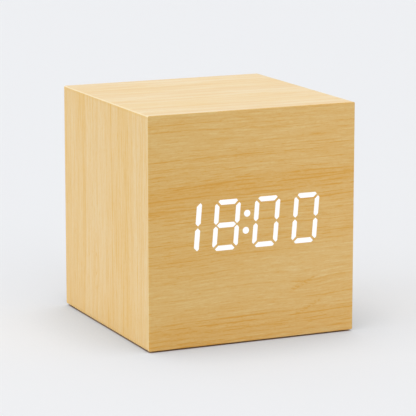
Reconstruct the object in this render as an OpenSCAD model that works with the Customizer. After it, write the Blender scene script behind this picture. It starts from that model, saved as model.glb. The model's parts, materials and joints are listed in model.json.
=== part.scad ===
// Cube alarm clock. A fibreboard case wears wood veneer, and a four-digit LED display shines
// through its front. Three buttons and a power socket sit in a plate at the back, and a battery
// box with a hinged door fills the base.
// X runs to the right seen from the front, Y to the back and Z up. The origin is on the table,
// under the middle of the case.

/* [Case] */
// Overall width, across the front
case_w = 61.5; // [56:0.5:80]
// Overall depth, front to back
case_d = 61.5; // [56:0.5:80]
// Overall height, from the table to the top
case_h = 64.4; // [58:0.2:84]
// Thickness of the fibreboard panels
board_t = 3.5; // [3:0.1:4]
// Thickness of the film folded round the four sides
film_t = 0.4; // [0.3:0.05:0.6]
// Thickness of the veneer on the front and back
veneer_t = 0.45; // [0.35:0.05:0.6]
// Outer radius of the film at its folds
fold_r = 0.45; // [0.4:0.05:0.9]
// Chamfer round the front veneer's edge
veneer_chamfer = 0.15; // [0.1:0.05:0.3]
// Clearance round a panel, plate or box in its opening
panel_gap = 0.1; // [0.05:0.01:0.2]
// Side of the square blocks glued in the back corners
block_s = 8; // [6:0.5:9]
// Length of the corner blocks
block_l = 5.5; // [4:0.5:6]

/* [Foot pads] */
// Diameter of a foot pad
pad_d = 5.5; // [4:0.1:6.2]
// Thickness of a foot pad
pad_t = 1; // [0.9:0.05:1.4]
// Depth of the pad's pocket in the base
pad_sink = 0.6; // [0.5:0.05:0.8]
// Clearance between a foot pad and the lines of the front and side panels
pad_gap = 0.2; // [0:0.1:1]

/* [Digits] */
// Hour on the display
shown_hour = 18; // [0:1:23]
// Minute on the display
shown_minute = 0; // [0:1:59]
// Height of the digits' middle above the table
display_z = 33.35; // [31:0.05:36]
// Width between the middles of a digit's uprights
digit_w = 6.24; // [5.8:0.01:6.9]
// Height between the middles of a digit's top and bottom bars
digit_h = 12.52; // [11:0.02:14]
// Lean of the digits to the right
digit_lean = 4.55; // [0:0.05:8]
// Width of an upright
upright_w = 1.34; // [1.2:0.02:1.6]
// Thickness of a level bar
level_h = 1.4; // [1.2:0.02:1.6]
// Width of a digit left over by its top and bottom bars
level_gap = 0.42; // [0.4:0.02:0.9]
// Width of a digit left over by its middle bar
middle_gap = 0.62; // [0.6:0.02:1]
// Height of an upright's inner point above the digit's middle
upright_start = 0.22; // [0.15:0.01:0.5]
// Distance from an upright's outer point to the line of the top or bottom bar
upright_gap = 0.29; // [0.2:0.01:0.5]
// How far a bar's point lies outside its middle line at a digit's corner
point_shift = 0.22; // [0:0.01:0.4]
// Size of the first digit against the others
lead_scale = 1.1; // [1:0.01:1.15]
// Diameter of the colon's dots
colon_d = 1.9; // [1.6:0.05:2.2]
// Distance between the colon's dots
colon_pitch = 4.68; // [4:0.02:5.5]
// Height of the colon's middle above the digits' middle
colon_rise = 0.33; // [0:0.01:0.6]

/* [Display module] */
// Width of the display housing
housing_w = 45.7; // [41:0.1:51]
// Clearance between the display housing and the left panel
housing_gap = 1.75; // [1:0.05:1.8]
// Width of the housing beyond the middles of the first and last digits
housing_ends = 10.1; // [9.8:0.01:11]
// Place of the colon to the right of the housing's middle
colon_shift = 0.27; // [0:0.01:0.4]
// Height of the display housing
housing_h = 19; // [17.5:0.1:21]
// Depth of the display housing
housing_t = 7; // [6:0.1:8]
// Clearance between a bar's lens and the die behind it
lens_gap = 0.8; // [0.2:0.1:3]
// Thickness of the display's own board
display_board_t = 1.2; // [0.8:0.1:1.6]
// Side of an LED die
die_s = 0.8; // [0.4:0.05:0.9]
// Height of an LED die
die_h = 0.6; // [0.2:0.05:0.7]
// Diameter of a display pin
pin_d = 0.6; // [0.5:0.05:0.8]
// Distance between neighbouring pins
pin_pitch = 2.54; // [2:0.01:3]
// Distance between the two rows of pins
pin_rows = 15.24; // [13:0.01:17]
// Pins in a row
pin_count = 6; // [4:1:7]
// Length of a pin behind the main board
pin_tail = 0.8; // [0.5:0.1:1.2]
// Clearance round a pin in its hole
pin_gap = 0.05; // [0.02:0.01:0.1]

/* [Main board] */
// Thickness of the main and control boards
pcb_t = 1.6; // [1:0.1:1.8]
// Clearance between the main board and the side panels
main_gap = 1.85; // [1:0.05:2.5]
// Diameter of a standoff
standoff_d = 5; // [4.5:0.1:5.5]
// Length of a standoff, from the front panel to the main board
standoff_l = 7; // [6.5:0.1:7.5]
// Clearance between a standoff and the display's window
standoff_gap = 0.8; // [0.4:0.1:1.2]
// Distance from a standoff's middle to the board's edge
main_margin = 3; // [2.6:0.1:3.4]
// Length of the clock chip
chip_l = 17.9; // [15:0.1:18]
// Width of the clock chip
chip_w = 7.5; // [6:0.1:8]
// Height of the clock chip
chip_t = 2.3; // [1.6:0.1:2.6]
// Distance from the board's left edge to the clock chip
chip_edge = 2.05; // [1:0.05:5]
// Leads along one side of the clock chip
lead_count = 14; // [10:1:14]
// Distance from the chip's ends to the middle of its first leads
lead_end = 0.7; // [0.4:0.05:1.5]
// Width of a chip lead
lead_w = 0.4; // [0.3:0.05:0.5]
// Reach of a lead beside the chip
lead_reach = 1.4; // [1:0.1:1.8]
// Thickness of a chip lead
lead_t = 0.25; // [0.2:0.05:0.4]
// Diameter of the crystal can
crystal_d = 3; // [2:0.1:3.2]
// Length of the crystal can
crystal_l = 8; // [6:0.1:9]
// Clearance between a standoff's screw and what lies beside it on the board
row_gap = 0.6; // [0.2:0.1:1]
// Diameter of the coin cell
coin_d = 12.5; // [11:0.1:16]
// Thickness of the coin cell
coin_t = 2; // [1.6:0.1:3.2]
// Distance from the board's right edge to the coin cell's holder
coin_edge = 2; // [0.5:0.1:5]
// Wall of the coin cell's holder
holder_wall = 0.9; // [0.6:0.05:1]
// Floor of the coin cell's holder
holder_floor = 0.8; // [0.6:0.1:1.2]
// Clearance round the coin cell
coin_gap = 0.15; // [0.1:0.01:0.2]
// Width of the clip over the coin cell
clip_w = 4; // [3:0.5:6]
// Thickness of the clip over the coin cell
clip_t = 0.4; // [0.3:0.05:0.6]
// Diameter of the microphone
mic_d = 6; // [4:0.1:6]
// Height of the microphone
mic_h = 2.7; // [2:0.1:4]
// Diameter of the microphone's port
mic_port_d = 2; // [1:0.1:3]
// Depth of the microphone's port
mic_port_h = 0.7; // [0.3:0.1:1.2]
// Diameter of the capacitor
cap_d = 5; // [4:0.1:5]
// Height of the capacitor
cap_h = 7; // [5:0.1:8]
// Diameter of the temperature sensor's bead
bead_d = 2.4; // [1.6:0.1:2.6]
// Height of the bead's middle above the board
bead_rise = 2.6; // [2:0.1:4]
// Distance between the bead's wires
bead_wires = 1.2; // [1:0.05:1.4]
// Length of a resistor
resistor_l = 2; // [1.6:0.1:2.2]
// Width of a resistor
resistor_w = 1.25; // [0.8:0.05:1.3]
// Height of a resistor
resistor_h = 0.5; // [0.4:0.05:0.7]
// Distance between neighbouring resistors
resistor_pitch = 2; // [1.6:0.05:2.1]
// Number of resistors
resistor_count = 6; // [4:1:6]

/* [Ribbon cable] */
// Width of a cable header
header_w = 12; // [11:0.1:14]
// Height of a cable header
header_h = 4; // [3:0.1:4.5]
// Depth of a cable header
header_t = 5; // [4:0.1:6]
// Width of the ribbon cable
ribbon_w = 10; // [8:0.1:10.5]
// Thickness of the ribbon cable
ribbon_t = 0.9; // [0.6:0.05:1.2]
// Sag of the ribbon cable between its headers
ribbon_sag = 4; // [0:0.5:8]

/* [Control plate] */
// Clearance between the control plate's flange and the side panels
flange_gap = 0.85; // [0.3:0.05:1.2]
// Height of the control plate
plate_h = 14; // [12.5:0.1:15]
// Corner radius of the control plate
plate_r = 2; // [1:0.1:3]
// Height of the control plate's middle above the middle of the case's inside
plate_rise = 3.6; // [0:0.1:4]
// Depth of the plate's face below the back of the case
plate_recess = 0.4; // [0.35:0.05:0.8]
// Thickness of the control plate's face
plate_t = 1.6; // [1.2:0.1:1.8]
// Wall of the tub behind the control plate
tub_wall = 1.5; // [1.2:0.1:1.6]
// Reach of the plate's flange past its sides
flange_side = 2; // [1.8:0.1:2.3]
// Reach of the plate's flange past its top and bottom
flange_rise = 4; // [3.8:0.1:4.4]
// Thickness of the plate's flange
flange_t = 1.5; // [1.2:0.1:1.8]
// Diameter of the posts for the control board
post_d = 3.2; // [2.8:0.1:3.4]
// Length of the posts for the control board
post_l = 2.65; // [2.4:0.05:3]
// Distance of a post's middle inside the plate's top or bottom edge
post_in = 0.5; // [0:0.1:1]
// Reach of the control board past its posts' middles
control_reach = 1.7; // [1.6:0.1:2]
// Sideways distance of a flange screw from the middle
flange_screw_x = 15; // [12:0.5:18]

/* [Buttons] */
// Diameter of a button
button_d = 5; // [4:0.1:5.6]
// Least clearance between neighbouring buttons or switches
button_space = 0.4; // [0.2:0.05:1]
// Clearance round a button in the plate
button_gap = 0.1; // [0.06:0.01:0.15]
// Width of the flange that keeps a button in
button_lip = 0.6; // [0.4:0.05:0.9]
// Thickness of a button's flange
button_flange_t = 1; // [0.8:0.1:1.2]
// How far a button stands out of the plate
button_proud = 0.3; // [0.1:0.05:0.35]
// Chamfer on a button's edge
button_chamfer = 0.3; // [0.1:0.05:0.5]
// Travel of a button
button_travel = 0.35; // [0.2:0.05:0.5]
// Depth of the mark in a button's face
mark_depth = 0.25; // [0.15:0.05:0.4]
// Radius of the mark in a button's face
mark_r = 1.4; // [1:0.1:1.8]
// Line width of the ring mark
mark_line = 0.5; // [0.3:0.05:0.7]
// Side of a switch body
switch_s = 6; // [5:0.1:6.6]
// Height of a switch body
switch_h = 3.5; // [3:0.1:3.8]
// Diameter of a switch plunger
plunger_d = 3.4; // [2.6:0.1:3.6]
// Length of a plunger inside its switch
plunger_depth = 1.2; // [0.8:0.1:1.4]
// Clearance round a plunger
plunger_gap = 0.06; // [0.03:0.01:0.1]
// Room under a plunger at the end of its travel
plunger_room = 0.2; // [0.1:0.05:0.4]

/* [Power socket and buzzer] */
// Width of the power socket's shell
socket_w = 8.94; // [8.5:0.02:9.2]
// Height of the power socket's shell
socket_h = 3.2; // [3:0.02:3.4]
// Wall of the power socket's shell
socket_wall = 0.35; // [0.25:0.01:0.4]
// Clearance between the power socket and the tub's wall
socket_gap = 0.6; // [0.3:0.1:1.2]
// Depth of the socket's mouth below the plate's face
socket_sink = 0.1; // [0:0.05:0.4]
// Width of the tongue in the socket
tongue_w = 6.69; // [6:0.01:6.9]
// Thickness of the tongue in the socket
tongue_t = 0.7; // [0.5:0.05:0.8]
// Depth of the tongue's tip below the socket's mouth
tongue_sink = 0.8; // [0.4:0.1:1.4]
// Height of the tongue's base on the control board
tongue_base = 1.2; // [0.8:0.1:2]
// Diameter of the buzzer
buzzer_d = 7.6; // [6:0.1:8.4]
// Height of the buzzer
buzzer_h = 3; // [2:0.1:4]
// Clearance between the buzzer and the tub's wall
buzzer_gap = 1; // [0.4:0.1:2]
// Diameter of the buzzer's port
buzzer_port_d = 2.2; // [1:0.1:3]
// Depth of the buzzer's port
buzzer_port_h = 1.5; // [0.5:0.1:1.8]
// Diameter of a sound hole
sound_d = 1.1; // [0.8:0.1:1.4]
// Radius of the ring of sound holes
sound_r = 2.4; // [2.2:0.1:2.8]
// Holes in the ring of sound holes
sound_count = 6; // [4:1:8]

/* [Battery] */
// Diameter of a cell
cell_d = 10.5; // [10:0.1:10.7]
// Diameter of a cell's nub
nub_d = 3.8; // [3:0.1:5]
// Length of a cell's nub
nub_l = 1; // [0.8:0.1:1.5]
// Clearance round a cell
cell_gap = 0.3; // [0.2:0.05:0.4]
// Thickness of a contact plate
contact_t = 0.4; // [0.3:0.05:0.5]
// Side of a contact plate
contact_s = 8; // [6:0.1:8.5]
// Width of a contact's solder tab
tab_w = 3; // [2:0.1:4]
// Height of a solder tab above the battery box
tab_out = 1.5; // [1:0.1:2]
// Length of a pressed contact spring
spring_l = 2.6; // [2.4:0.1:3.4]
// Wire of a contact spring
spring_wire = 0.5; // [0.4:0.02:0.55]
// Radius of a spring at its plate
spring_wide = 3.4; // [3:0.1:3.6]
// Radius of a spring at the cell
spring_narrow = 1.6; // [1.4:0.1:1.8]
// Curls in a contact spring
spring_curls = 2.25; // [1.5:0.25:2.5]
// Wall of the battery box
box_wall = 1.5; // [1.2:0.1:1.7]
// Clearance between the battery box and the side panels
box_gap = 1.4; // [0.8:0.1:2]
// Width of the ears that hold the battery box
ear_w = 14; // [12:0.5:20]
// Reach of the ears past the battery box
ear_l = 4.2; // [3.8:0.1:4.6]
// Thickness of the ears
ear_t = 1.5; // [1:0.1:2.5]
// Distance between the screws in an ear
ear_screws = 9; // [7:0.5:10]
// Diameter of a battery lead
wire_d = 1.2; // [0.8:0.1:1.4]
// Bend radius of a battery lead
wire_bend = 3; // [2:0.1:3.2]
// Height of the leads above the lower standoffs
wire_rise = 4; // [3:0.1:5]

/* [Battery door] */
// Thickness of the battery door
door_t = 1.6; // [1.4:0.1:2]
// Clearance round the battery door
door_gap = 0.25; // [0.15:0.01:0.35]
// Radius of the door's hinge barrel
hinge_r = 1.1; // [1:0.05:1.3]
// Diameter of the door's hinge pins
hinge_pin_d = 1.5; // [1.2:0.05:1.6]
// Length of a hinge pin inside the battery box
hinge_pin_l = 0.9; // [0.6:0.05:1]
// Clearance round a hinge pin
hinge_gap = 0.05; // [0.02:0.01:0.1]
// Width of the fingernail notch
notch_w = 10; // [6:0.5:16]
// Height of the fingernail notch
notch_h = 2.2; // [1.7:0.1:3]
// Side of the stops that the door closes on
stop_s = 1.8; // [1.2:0.1:2]
// Height of the stops that the door closes on
stop_h = 0.9; // [0.6:0.1:1]
// Clearance between the door and its stops
stop_gap = 0.05; // [0.02:0.01:0.1]
// Length of the grip grooves in the door
groove_l = 14; // [8:0.5:20]
// Width of a grip groove
groove_w = 0.8; // [0.5:0.1:1]
// Depth of a grip groove
groove_h = 0.4; // [0.2:0.05:0.6]
// Distance between neighbouring grip grooves
groove_pitch = 1.6; // [1.2:0.1:2.4]
// Number of grip grooves
groove_count = 3; // [2:1:6]

/* [Screws] */
// Shank diameter of the back screws
back_screw_d = 2.2; // [1.8:0.1:2.6]
// Length of the back screws
back_screw_l = 8; // [6:0.5:8.5]
// Head diameter of the back screws
back_head_d = 4.6; // [4:0.1:5.2]
// Head height of the back screws
back_head_h = 1.6; // [1.2:0.1:2]
// Shank diameter of the small screws
small_screw_d = 1.6; // [1.2:0.1:1.8]
// Head diameter of the small screws
small_head_d = 3; // [2.6:0.1:3.2]
// Head height of the small screws
small_head_h = 1; // [0.8:0.1:1.2]
// Depth of a small screw in the wood or plastic that holds it
small_bite = 2.4; // [1.8:0.1:2.6]
// Clearance round a screw in its hole
screw_gap = 0.05; // [0.02:0.01:0.1]
// Room under a screw's tip
tip_room = 0.2; // [0.1:0.05:0.3]
// Width of the cross in a screw's head
cross_w = 0.5; // [0.3:0.05:0.7]
// Depth of the cross in a screw's head
cross_h = 0.6; // [0.3:0.05:0.7]
// Length of the cross in a back screw's head
back_cross_l = 2.8; // [2:0.1:3.2]
// Length of the cross in a small screw's head
small_cross_l = 1.8; // [1.2:0.1:2]

/* [Hidden] */
$fn = 48;

// Cut past a face, so that a hole has no skin left over it
past = 1;

// Heights and depths of the case's layers
base_z = pad_t - pad_sink;
front_y = -case_d / 2;
back_y = case_d / 2;
veneer_y = front_y + veneer_t;
front_in_y = veneer_y + board_t;
film_end_y = back_y - film_t;
back_board_y = back_y - veneer_t;
back_in_y = back_board_y - board_t;
out_x = case_w / 2 - film_t;
out_z = [base_z + film_t, case_h - film_t];
in_x = out_x - board_t;
in_z = [out_z[0] + board_t, out_z[1] - board_t];
pad_x = in_x - pad_gap - pad_d / 2;
pad_y = -front_in_y - pad_gap - pad_d / 2;

// Display
numerals = ["abcdef", "bc", "abdeg", "abcdg", "bcfg", "acdfg", "acdefg", "abc", "abcdefg", "abcdfg"];
shown = [floor(shown_hour / 10), shown_hour % 10, floor(shown_minute / 10), shown_minute % 10];
housing_end_y = veneer_y + housing_t;
display_end_y = housing_end_y + display_board_t;
housing_x = [housing_gap - in_x, housing_gap - in_x + housing_w];
display_x = housing_x[0] + housing_w / 2 + colon_shift;
digit_pitch = (housing_w - housing_ends) / (len(shown) - 1);
upright_end = digit_h / 2 - upright_gap;
level_l = digit_w - level_gap;
middle_l = digit_w - middle_gap;
lens_t = housing_t - die_h - lens_gap;
housing_z = [display_z - housing_h / 2, display_z + housing_h / 2];

// Main board, its standoffs and what sits on its back
main_y = [front_in_y + standoff_l, front_in_y + standoff_l + pcb_t];
main_x = in_x - main_gap;
standoff_x = main_x - main_margin;
standoff_z = [
  housing_z[0] - panel_gap - standoff_gap - standoff_d / 2,
  housing_z[1] + panel_gap + standoff_gap + standoff_d / 2
];
main_z = [standoff_z[0] - main_margin, standoff_z[1] + main_margin];
holder_r = coin_d / 2 + coin_gap + holder_wall;
top_row_z = standoff_z[1];
low_row_z = standoff_z[0];
row_x = standoff_x - small_head_d / 2 - row_gap;
chip_x = chip_edge + chip_l / 2 - main_x;
lead_pitch = (chip_l - 2 * lead_end) / (lead_count - 1);
coin_x = main_x - coin_edge - holder_r;
crystal_x = [-row_x, crystal_l - row_x];
resistor_x = row_x - resistor_w - (resistor_count - 1) * resistor_pitch;
header_x = (crystal_x[1] + resistor_x) / 2;
header_end_y = main_y[1] + header_t;
wire_z = standoff_z[0] + wire_rise;

// Control plate and control board
plate_y = [back_y - plate_recess - plate_t, back_y - plate_recess];
plate_z = (in_z[0] + in_z[1]) / 2 + plate_rise;
plate_x = in_x - flange_gap - flange_side;
tub_x = plate_x - tub_wall;
post_z = plate_h / 2 - post_in;
flange_y = back_in_y - flange_t;
control_y = [flange_y - post_l - pcb_t, flange_y - post_l];
switch_y = control_y[1] + switch_h;
button_y = plate_y[0] - button_gap - button_flange_t;
button_end_y = plate_y[1] + button_proud;
socket_y = plate_y[1] - socket_sink;
socket_x = tub_x - socket_gap - socket_w / 2;
buzzer_x = buzzer_gap + buzzer_d / 2 - tub_x;
button_flange_d = button_d + 2 * button_lip;
button_pitch = max(button_flange_d, switch_s) + button_space;
flange_screw_z = plate_h / 2 + flange_rise / 2;
button_rows = [-1, 0, 1];

// Battery box
cell_rows = [-1, 0, 1];
cell_step = cell_d + cell_gap;
cell_z = base_z + door_t + cell_gap + cell_d / 2;
bay_x = in_x - box_gap - box_wall;
cell_l = 2 * (bay_x - contact_t) - spring_l;
bay_y = (len(cell_rows) * cell_step + cell_gap) / 2;
bay_z = cell_z + cell_d / 2 + cell_gap;
box_z = bay_z + box_wall;
tab_z = box_z + tab_out;
lead_x = bay_x - contact_t / 2;
hinge_y = door_gap + hinge_r - bay_y;
hinge_z = base_z + hinge_r;

// Rings in one curl of a contact spring, and sides of its wire
spring_rings = 8;
spring_sides = 6;

// Box between two limits on each axis
module span(x, y, z) {
  translate([x[0], y[0], z[0]])
    cube([x[1] - x[0], y[1] - y[0], z[1] - z[0]]);
}

// Outline drawn in X and Z, carried along Y
module along_y(y) {
  translate([0, y[1], 0])
    rotate([90, 0, 0])
      linear_extrude(y[1] - y[0])
        children();
}

// Outline drawn in Y and Z, carried along X
module along_x(x) {
  translate([x[0], 0, 0])
    rotate([90, 0, 90])
      linear_extrude(x[1] - x[0])
        children();
}

// Moves a shape that stands on its XY plane so that it points to the back
module facing_back(x, y, z) {
  translate([x, y, z])
    rotate([-90, 0, 0])
      children();
}

// Copies to both sides of the middle, and above and below a height
module four_corners(x, z) {
  for (side = [-1, 1])
    for (height = z)
      translate([side * x, 0, height])
        children();
}

module rounded_rect(w, h, r) {
  square([w - 2 * r, h], center = true);
  square([w, h - 2 * r], center = true);
  for (x = [-1, 1])
    for (y = [-1, 1])
      translate([x * (w / 2 - r), y * (h / 2 - r)])
        circle(r);
}

// Round-ended slot lying along X
module stadium(w, h) {
  square([w - h, h], center = true);
  for (x = [-1, 1])
    translate([x * (w - h) / 2, 0])
      circle(d = h);
}

// Cross cut in a screw's head, from its top at height 0
module cross_recess(length) {
  for (turn = [0, 90])
    rotate(turn)
      translate([-length / 2, -cross_w / 2, -cross_h])
        cube([length, cross_w, cross_h + past]);
}

// Small screw with a round head, its head standing on height 0 and its shank below
module small_screw(grip) {
  difference() {
    union() {
      cylinder(d = small_head_d, h = small_head_h);
      translate([0, 0, -grip - small_bite])
        cylinder(d = small_screw_d, h = grip + small_bite + small_head_h / 2);
    }
    translate([0, 0, small_head_h])
      cross_recess(small_cross_l);
  }
}

// Hole for a small screw, from height 0 down
module small_hole(depth) {
  translate([0, 0, -depth])
    cylinder(d = small_screw_d + 2 * screw_gap, h = depth + past);
}

// Countersunk screw with its head's top at height 0. The gap widens it into its own hole.
module back_screw_shape(gap, length) {
  head_r = back_head_d / 2 + gap;
  shank_r = back_screw_d / 2 + gap;
  rotate_extrude()
    polygon([[0, 0], [head_r, 0], [shank_r, -back_head_h], [shank_r, -length], [0, -length]]);
}

// Six points of a bar between its points at a and b, which lie off its middle line by the shifts
function bar(a, b, thick, shift_a, shift_b) =
  let (s = thick / 2)
  [
    [a, shift_a], [a + s + shift_a, -s], [b - s - shift_b, -s],
    [b, shift_b], [b - s + shift_b, s], [a + s - shift_a, s]
  ];

// A digit's top bar, or its bottom bar where up is -1
function level(up) = [
  for (p = bar(-level_l / 2, level_l / 2, level_h, point_shift, point_shift))
    [p.x, up * (digit_h / 2 + p.y)]
];

// An upright to the right or left of a digit's middle, above or below it
function upright(right, up) = [
  for (p = bar(upright_start, upright_end, upright_w, 0, point_shift))
    [right * (digit_w / 2 + p.y), up * p.x]
];

// The seven bars of a digit, in the order of their letters
bars = [
  level(1), upright(1, 1), upright(1, -1), level(-1), upright(-1, -1), upright(-1, 1),
  bar(-middle_l / 2, middle_l / 2, level_h, 0, 0)
];
letters = "abcdefg";

function digit_x(i) = display_x + (i - (len(shown) - 1) / 2) * digit_pitch;
function digit_scale(i) = i == 0 ? lead_scale : 1;

// A point of a digit, leaned and set in its place on the front
function placed(p, i) =
  [digit_x(i), display_z] + digit_scale(i) * [p.x + p.y * tan(digit_lean), p.y];

function bar_points(i, k) = [for (p = bars[k]) placed(p, i)];
function is_lit(i, k) = len(search(letters[k], numerals[shown[i]])) > 0;

// Middle of the colon's upper or lower dot
function dot_at(up) =
  let (rise = colon_rise + up * colon_pitch / 2)
  [display_x + rise * tan(digit_lean), display_z + rise];

// Outlines of the display's bars and dots, all of them or only those that are lit
module segments(lit_only) {
  for (i = [0:len(shown) - 1])
    for (k = [0:len(bars) - 1])
      if (!lit_only || is_lit(i, k))
        polygon(bar_points(i, k));
  for (up = [-1, 1])
    translate(dot_at(up))
      circle(d = colon_d);
}

// Outline of the case seen from the front
module case_outline() {
  translate([0, (base_z + case_h) / 2])
    rounded_rect(case_w, case_h - base_z, fold_r);
}

// Outline of the opening that takes the control plate
module plate_outline(grow) {
  translate([0, plate_z])
    rounded_rect(2 * (plate_x + grow), plate_h + 2 * grow, plate_r + grow);
}

// Opening in the base that takes the battery box
module box_opening() {
  x = bay_x + box_wall + panel_gap;
  y = bay_y + box_wall + panel_gap;
  span([-x, x], [-y, y], [base_z - past, in_z[0] + past]);
}

module pad_pockets() {
  for (x = [-1, 1])
    for (y = [-1, 1])
      translate([x * pad_x, y * pad_y, base_z - past])
        cylinder(d = pad_d, h = pad_sink + past);
}

// Places of the back screws and of the corner blocks round them
module back_screw_places() {
  four_corners(in_x - block_s / 2, [in_z[0] + block_s / 2, in_z[1] - block_s / 2])
    facing_back(0, back_y, 0)
      children();
}

module front_veneer() {
  c = veneer_chamfer;
  x = case_w / 2;
  color("burlywood")
    difference() {
      intersection() {
        along_y([front_y, veneer_y])
          case_outline();
        linear_extrude(case_h + past)
          polygon([
            [-x + c, front_y], [x - c, front_y], [x, front_y + c], [x, veneer_y],
            [-x, veneer_y], [-x, front_y + c]
          ]);
        along_x([-x, x])
          polygon([
            [front_y, base_z + c], [front_y + c, base_z], [veneer_y, base_z],
            [veneer_y, case_h], [front_y + c, case_h], [front_y, case_h - c]
          ]);
      }
      along_y([front_y - past, veneer_y + past])
        segments(true);
    }
}

module lit_segments() {
  color("white")
    along_y([front_y, veneer_y])
      segments(true);
}

module front_panel() {
  g = panel_gap;
  color("tan")
    difference() {
      span([-out_x, out_x], [veneer_y, front_in_y], out_z);
      span([housing_x[0] - g, housing_x[1] + g], [veneer_y - past, front_in_y + past],
           [housing_z[0] - g, housing_z[1] + g]);
    }
}

// Panel between the front panel and the back edge, mitred along both long edges
module mitred_panel(points) {
  color("tan")
    along_y([front_in_y, film_end_y])
      polygon(points);
}

module top_panel() {
  mitred_panel([[-out_x, out_z[1]], [-in_x, in_z[1]], [in_x, in_z[1]], [out_x, out_z[1]]]);
}

module bottom_panel() {
  difference() {
    mitred_panel([[-out_x, out_z[0]], [out_x, out_z[0]], [in_x, in_z[0]], [-in_x, in_z[0]]]);
    box_opening();
    pad_pockets();
    box_screw_places()
      small_hole(ear_t + small_bite + tip_room);
  }
}

module left_panel() {
  mitred_panel([[-out_x, out_z[0]], [-in_x, in_z[0]], [-in_x, in_z[1]], [-out_x, out_z[1]]]);
}

module right_panel() {
  mitred_panel([[out_x, out_z[0]], [out_x, out_z[1]], [in_x, in_z[1]], [in_x, in_z[0]]]);
}

// Film round the four sides, turned in over the panels' back edges
module side_film() {
  color("wheat")
    difference() {
      along_y([veneer_y, back_y])
        case_outline();
      span([-out_x, out_x], [veneer_y - past, film_end_y], out_z);
      span([-in_x, in_x], [film_end_y - past, back_y + past], in_z);
      box_opening();
      pad_pockets();
    }
}

// Slab that fills the back of the case, with its openings
module back_slab(y) {
  g = panel_gap;
  difference() {
    span([-in_x + g, in_x - g], y, [in_z[0] + g, in_z[1] - g]);
    along_y([y[0] - past, y[1] + past])
      plate_outline(g);
    back_screw_places()
      back_screw_shape(screw_gap, back_screw_l);
  }
}

module back_panel() {
  color("tan")
    difference() {
      back_slab([back_in_y, back_board_y]);
      plate_screw_places()
        small_hole(flange_t + small_bite + tip_room);
    }
}

module back_veneer() {
  color("burlywood")
    back_slab([back_board_y, back_y]);
}

module corner_blocks() {
  color("peru")
    difference() {
      for (side = [-1, 1])
        for (z = [in_z[0], in_z[1] - block_s])
          translate([side * (in_x - block_s / 2) - block_s / 2, back_in_y - block_l, z])
            cube([block_s, block_l, block_s]);
      back_screw_places()
        back_screw_shape(screw_gap, back_screw_l + tip_room);
    }
}

module back_screws() {
  color("silver")
    back_screw_places()
      difference() {
        back_screw_shape(0, back_screw_l);
        cross_recess(back_cross_l);
      }
}

module foot_pads() {
  color("dimgray")
    for (x = [-1, 1])
      for (y = [-1, 1])
        translate([x * pad_x, y * pad_y, 0])
          cylinder(d = pad_d, h = pad_t);
}

module display_housing() {
  color("whitesmoke")
    difference() {
      span(housing_x, [veneer_y, housing_end_y], housing_z);
      along_y([veneer_y - past, housing_end_y + past])
        segments(false);
    }
}

module segment_lenses() {
  color("ivory")
    along_y([veneer_y, veneer_y + lens_t])
      segments(false);
}

// Die on the display's board, standing into the bar or dot at a place on the front
module die(at) {
  translate([at.x - die_s / 2, housing_end_y - die_h, at.y - die_s / 2])
    cube([die_s, die_h, die_s]);
}

// Middle of the box round a list of points
function middle_of(points) = [
  for (axis = [0, 1])
    let (values = [for (p = points) p[axis]])
    (min(values) + max(values)) / 2
];

module led_dice() {
  color("gold") {
    for (i = [0:len(shown) - 1])
      for (k = [0:len(bars) - 1])
        die(middle_of(bar_points(i, k)));
    for (up = [-1, 1])
      die(dot_at(up));
  }
}

// Places of the display's pins, seen from the front, in rows above and below the clock chip
module pin_places() {
  for (row = [-1, 1])
    for (k = [0:pin_count - 1])
      translate([chip_x + (k - (pin_count - 1) / 2) * pin_pitch, display_z + row * pin_rows / 2])
        children();
}

module display_board() {
  color("darkgreen")
    difference() {
      span(housing_x, [housing_end_y, display_end_y], housing_z);
      along_y([housing_end_y - past, display_end_y + past])
        pin_places()
          circle(d = pin_d + 2 * pin_gap);
    }
}

module display_pins() {
  color("silver")
    along_y([housing_end_y, main_y[1] + pin_tail])
      pin_places()
        circle(d = pin_d);
}

module main_board() {
  color("darkgreen")
    difference() {
      span([-main_x, main_x], main_y, main_z);
      along_y([main_y[0] - past, main_y[1] + past])
        pin_places()
          circle(d = pin_d + 2 * pin_gap);
      board_screw_places()
        small_hole(pcb_t + past);
    }
}

// Places of the main board's screws, on its back
module board_screw_places() {
  four_corners(standoff_x, standoff_z)
    facing_back(0, main_y[1], 0)
      children();
}

module standoffs() {
  color("white")
    difference() {
      four_corners(standoff_x, standoff_z)
        facing_back(0, front_in_y, 0)
          cylinder(d = standoff_d, h = standoff_l);
      board_screw_places()
        small_hole(pcb_t + small_bite + tip_room);
    }
}

module board_screws() {
  color("silver")
    board_screw_places()
      small_screw(pcb_t);
}

module clock_chip() {
  color("black")
    span([chip_x - chip_l / 2, chip_x + chip_l / 2], [main_y[1], main_y[1] + chip_t],
         [display_z - chip_w / 2, display_z + chip_w / 2]);
}

// Bent leads along both sides of the clock chip
module chip_leads() {
  rise = chip_t / 2;
  root = chip_w / 2;
  knee = root + lead_reach / 2;
  tip = root + lead_reach;
  color("silver")
    for (side = [-1, 1])
      for (k = [0:lead_count - 1])
        translate([chip_x + (k - (lead_count - 1) / 2) * lead_pitch, main_y[1], display_z])
          mirror([0, 0, side > 0 ? 0 : 1])
            along_x([-lead_w / 2, lead_w / 2])
              polygon([
                [rise, root], [rise, knee], [lead_t, knee], [lead_t, tip], [0, tip],
                [0, knee - lead_t], [rise - lead_t, knee - lead_t], [rise - lead_t, root]
              ]);
}

module crystal_can() {
  color("silver")
    translate([crystal_x[0], main_y[1] + crystal_d / 2, top_row_z])
      rotate([0, 90, 0])
        cylinder(d = crystal_d, h = crystal_l);
}

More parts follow.
